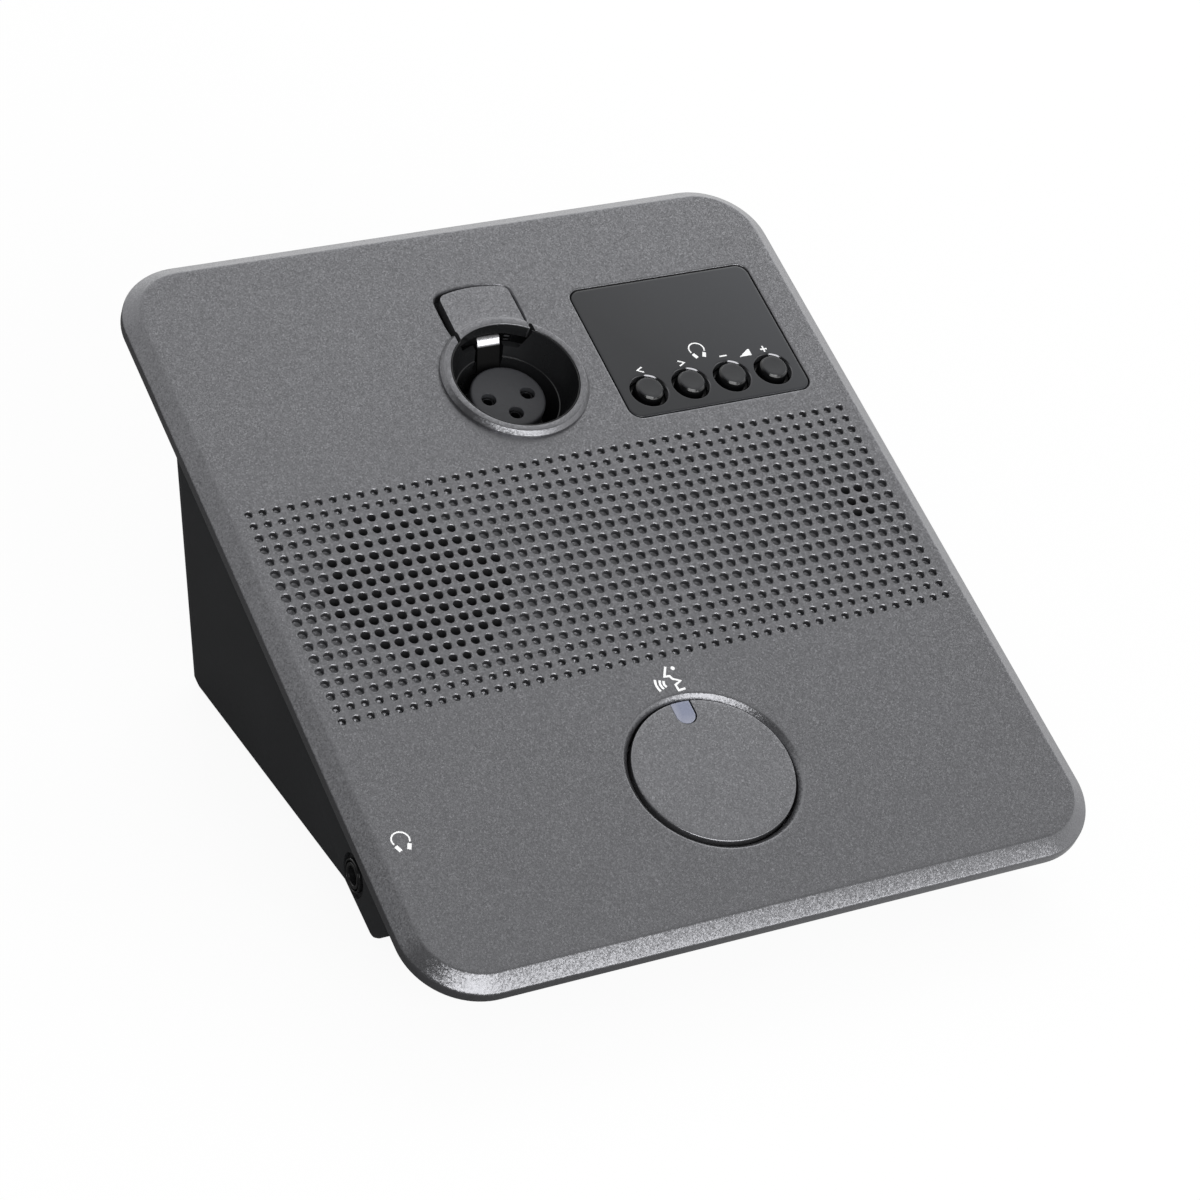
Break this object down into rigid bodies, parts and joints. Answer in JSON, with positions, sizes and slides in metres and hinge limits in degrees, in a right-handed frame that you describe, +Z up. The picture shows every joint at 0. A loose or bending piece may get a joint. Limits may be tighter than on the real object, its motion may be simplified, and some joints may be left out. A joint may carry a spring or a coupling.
{
  "type": "conference delegate unit",
  "caption": "Sloping desk console with a locking microphone socket, display window with keys, loudspeaker behind a drilled panel and a round talk button.",
  "frame": {"origin": "on the table, under the middle of the unit's outline", "axes": "+Z up, -Y towards the user's low front edge, +Y towards the raised rear edge"},
  "size_m": [0.138, 0.157, 0.0704],
  "materials": {
    "grey_paint": "satin grey paint with a fine metallic grain",
    "black_plastic": "fine matt moulded black",
    "smoked_window": "smoked glossy window",
    "key_plastic": "smooth dark key",
    "display_glass": "dark display",
    "board_green": "lacquered circuit board",
    "lamp_window": "milky light window",
    "lamp": "clear lamp",
    "steel": "bright steel",
    "contact_metal": "plated contact metal",
    "magnet_metal": "plated iron",
    "cone_paper": "black paper cone",
    "black_cloth": "thin black cloth",
    "gasket_foam": "soft black ring",
    "foot_rubber": "matt black rubber",
    "ribbon": "grey flat ribbon",
    "lead_vinyl": "black vinyl lead",
    "screw_steel": "blackened steel"
  },
  "bodies": {
    "base": {"case_screw_1": "screw_steel", "case_screw_2": "screw_steel", "case_screw_3": "screw_steel", "case_screw_4": "screw_steel", "display_module": "display_glass", "foot_front_left": "foot_rubber", "foot_front_right": "foot_rubber", "foot_rear_left": "foot_rubber", "foot_rear_right": "foot_rubber", "front_board": "board_green", "front_board_screw_1": "screw_steel", "front_board_screw_2": "screw_steel", "front_ribbon": "ribbon", "headphone_jack": "black_plastic", "headphone_jack_nut": "black_plastic", "key_board": "board_green", "key_board_screw_1": "screw_steel", "key_board_screw_2": "screw_steel", "key_ribbon": "ribbon", "key_switch_1": "black_plastic", "key_switch_2": "black_plastic", "key_switch_3": "black_plastic", "key_switch_4": "black_plastic", "lower_housing": "black_plastic", "main_board": "board_green", "main_board_screw_1": "screw_steel", "main_board_screw_2": "screw_steel", "main_processor": "black_plastic", "network_sockets": "steel", "release_pin": "steel", "release_spring": "steel", "socket_contact_1": "contact_metal", "socket_contact_2": "contact_metal", "socket_contact_3": "contact_metal", "socket_insert": "black_plastic", "socket_lead": "lead_vinyl", "socket_screw_1": "screw_steel", "socket_screw_2": "screw_steel", "socket_shell": "black_plastic", "speaker_basket": "black_plastic", "speaker_cloth": "black_cloth", "speaker_cone": "cone_paper", "speaker_gasket": "gasket_foam", "speaker_lead": "lead_vinyl", "speaker_magnet": "magnet_metal", "speaker_screw_1": "screw_steel", "speaker_screw_2": "screw_steel", "talk_lamp": "lamp", "talk_spring": "steel", "talk_switch": "black_plastic", "top_panel": "grey_paint", "window_lens": "smoked_window"},
    "talk": {"talk_button": "grey_paint", "talk_light_window": "lamp_window"},
    "release": {"release_tab": "grey_paint", "release_latch": "steel"},
    "key_1_body": {"key_1": "key_plastic"},
    "key_2_body": {"key_2": "key_plastic"},
    "key_3_body": {"key_3": "key_plastic"},
    "key_4_body": {"key_4": "key_plastic"}
  },
  "joints": [
    {"name": "talk_press", "type": "slide", "parent": "base", "child": "talk", "axis": [0, 0.3456, -0.9384], "range_m": [0, 0.0012], "stiffness_N_per_m": 1500, "deforming": ["talk_spring"]},
    {"name": "release_tilt", "type": "hinge", "parent": "base", "child": "release", "pos_m": [0, 0.05722, 0.06085], "axis": [1, 0, 0], "range_deg": [0, 10], "stiffness_Nm_per_rad": 0.17, "deforming": ["release_spring"]},
    {"name": "key_1_press", "type": "slide", "parent": "base", "child": "key_1_body", "axis": [0, 0.3456, -0.9384], "range_m": [0, 0.0006], "stiffness_N_per_m": 2500},
    {"name": "key_2_press", "type": "slide", "parent": "base", "child": "key_2_body", "axis": [0, 0.3456, -0.9384], "range_m": [0, 0.0006], "stiffness_N_per_m": 2500},
    {"name": "key_3_press", "type": "slide", "parent": "base", "child": "key_3_body", "axis": [0, 0.3456, -0.9384], "range_m": [0, 0.0006], "stiffness_N_per_m": 2500},
    {"name": "key_4_press", "type": "slide", "parent": "base", "child": "key_4_body", "axis": [0, 0.3456, -0.9384], "range_m": [0, 0.0006], "stiffness_N_per_m": 2500}
  ]
}
